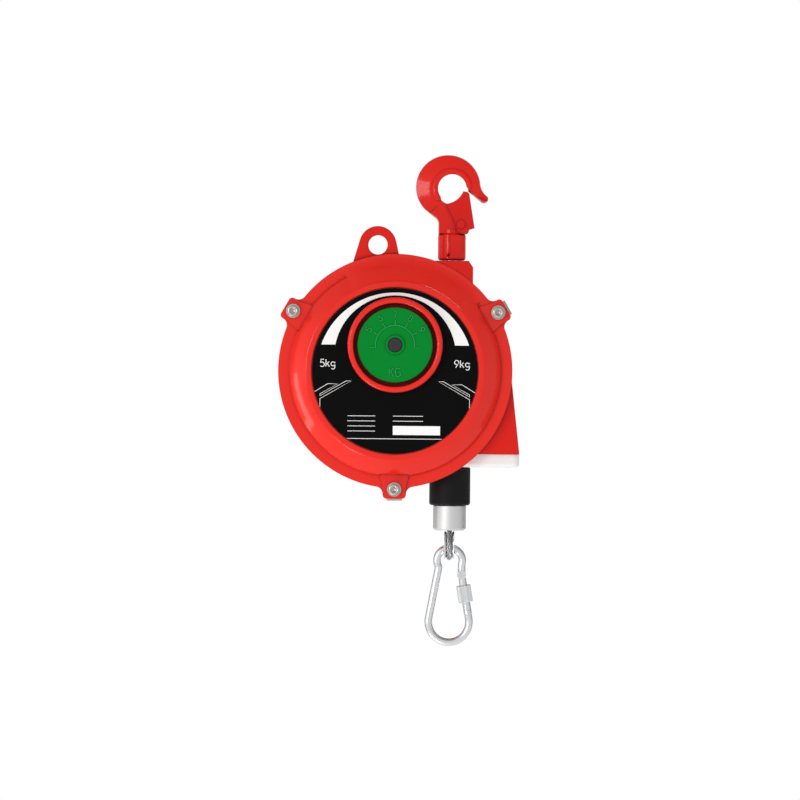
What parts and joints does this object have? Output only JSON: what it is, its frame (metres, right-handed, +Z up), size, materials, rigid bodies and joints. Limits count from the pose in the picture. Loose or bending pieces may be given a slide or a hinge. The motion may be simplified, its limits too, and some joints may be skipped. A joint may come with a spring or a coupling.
{
  "type": "tool balancer",
  "caption": "Spring balancer for hanging tools: round cast case with a load dial, swivel safety hook on top, and a wire rope with a rubber bumper and a screw-lock snap hook below.",
  "frame": {"origin": "centre of the top hook's eye", "axes": "+Z up along the hook, rope and snap hook; +X to the right seen from the dial side; +Y backwards, away from the dial"},
  "size_m": [0.188, 0.1125, 0.3839],
  "materials": {
    "red_enamel": "gloss enamel over die-cast aluminium",
    "green_enamel": "satin enamel",
    "black_plate": "black printed plate",
    "red_latch": "painted sheet steel",
    "zinc_steel": "zinc plated",
    "bare_steel": "machined steel",
    "spring_steel": "blued spring steel",
    "ferrule_aluminium": "turned aluminium",
    "cast_aluminium": "die-cast",
    "black_rubber": "moulded rubber",
    "white_nylon": "moulded nylon",
    "bronze": "sintered bronze",
    "dark_hub": "dark grey"
  },
  "bodies": {
    "hook": {"top_hook": "red_enamel", "suspension_bolt": "bare_steel", "thrust_washer": "bronze", "hook_roll_pin": "red_enamel", "latch_pin": "red_latch"},
    "latch": {"safety_latch": "red_latch", "latch_spring": "spring_steel"},
    "case": {"front_cover": "red_enamel", "rear_case": "red_enamel", "face_plate": "black_plate", "gear_cover": "red_enamel", "rope_guide": "white_nylon", "case_screws": "zinc_steel", "screw_washers": "zinc_steel", "clip_nuts": "zinc_steel", "lug_nut": "zinc_steel", "gear_cover_screws": "zinc_steel", "front_bush": "bronze", "rear_bush": "bronze", "worm_bush": "bronze", "dial_hub": "dark_hub"},
    "arbor": {"arbor": "bare_steel", "wheel_key": "bare_steel", "arbor_nut": "zinc_steel", "dial_pinion": "bronze", "worm_wheel": "bronze"},
    "worm": {"worm_shaft": "bare_steel"},
    "dial": {"dial_disc": "green_enamel"},
    "drum": {"rope_drum": "cast_aluminium", "spring_barrel": "cast_aluminium", "barrel_cover": "zinc_steel", "barrel_screws": "zinc_steel", "drum_bearings": "bare_steel", "main_spring": "spring_steel", "rope_wraps": "bare_steel"},
    "line": {"rope_run": "bare_steel", "bumper": "black_rubber", "ferrule": "ferrule_aluminium", "rope_eye": "bare_steel", "thimble": "zinc_steel"},
    "snap_hook": {"snap_hook": "zinc_steel", "gate_pin": "zinc_steel"},
    "gate": {"gate": "zinc_steel"},
    "screw_sleeve": {"screw_sleeve": "zinc_steel"}
  },
  "joints": [
    {"name": "hook_swivel", "type": "hinge", "parent": "hook", "child": "case", "pos_m": [0, 0, -0.057], "axis": [0, 0, 1], "continuous": true},
    {"name": "latch_pivot", "type": "hinge", "parent": "hook", "child": "latch", "pos_m": [0.007, 0, -0.028], "axis": [0, -1, 0], "range_deg": [0, 28], "stiffness_Nm_per_rad": 0.03, "springref_deg": -34.38},
    {"name": "rope_travel", "type": "slide", "parent": "case", "child": "line", "axis": [0, 0, -1], "range_m": [0, 1.3], "stiffness_N_per_m": 5, "springref_m": -13, "deforming": ["rope_run"]},
    {"name": "drum_spin", "type": "hinge", "parent": "case", "child": "drum", "pos_m": [-0.043, 0, -0.143], "axis": [0, 1, 0], "range_deg": [0, 1420]},
    {"name": "arbor_turn", "type": "hinge", "parent": "case", "child": "arbor", "pos_m": [-0.043, 0, -0.143], "axis": [0, 1, 0], "range_deg": [-360, 360]},
    {"name": "worm_spin", "type": "hinge", "parent": "case", "child": "worm", "pos_m": [-0.043, 0.044, -0.181], "axis": [1, 0, 0], "range_deg": [-10801, 10801]},
    {"name": "dial_turn", "type": "hinge", "parent": "case", "child": "dial", "pos_m": [-0.043, 0, -0.123], "axis": [0, 1, 0], "range_deg": [-60.1, 60.1]},
    {"name": "snap_hook_swing", "type": "hinge", "parent": "line", "child": "snap_hook", "pos_m": [0, 0, -0.2809], "axis": [1, 0, 0], "range_deg": [-100, 100]},
    {"name": "gate_pivot", "type": "hinge", "parent": "snap_hook", "child": "gate", "pos_m": [0.00985, 0, -0.302], "axis": [0, 1, 0], "range_deg": [0, 25], "stiffness_Nm_per_rad": 0.02, "springref_deg": -34.38},
    {"name": "sleeve_travel", "type": "slide", "parent": "gate", "child": "screw_sleeve", "axis": [0.1686, 0, -0.9857], "range_m": [0, 0.0125]}
  ],
  "couplings": [
    {"joint": "drum_spin", "follows": "rope_travel", "rad_per_m": 19.048},
    {"joint": "worm_spin", "follows": "arbor_turn", "ratio": 30},
    {"joint": "dial_turn", "follows": "arbor_turn", "ratio": 0.16667}
  ]
}
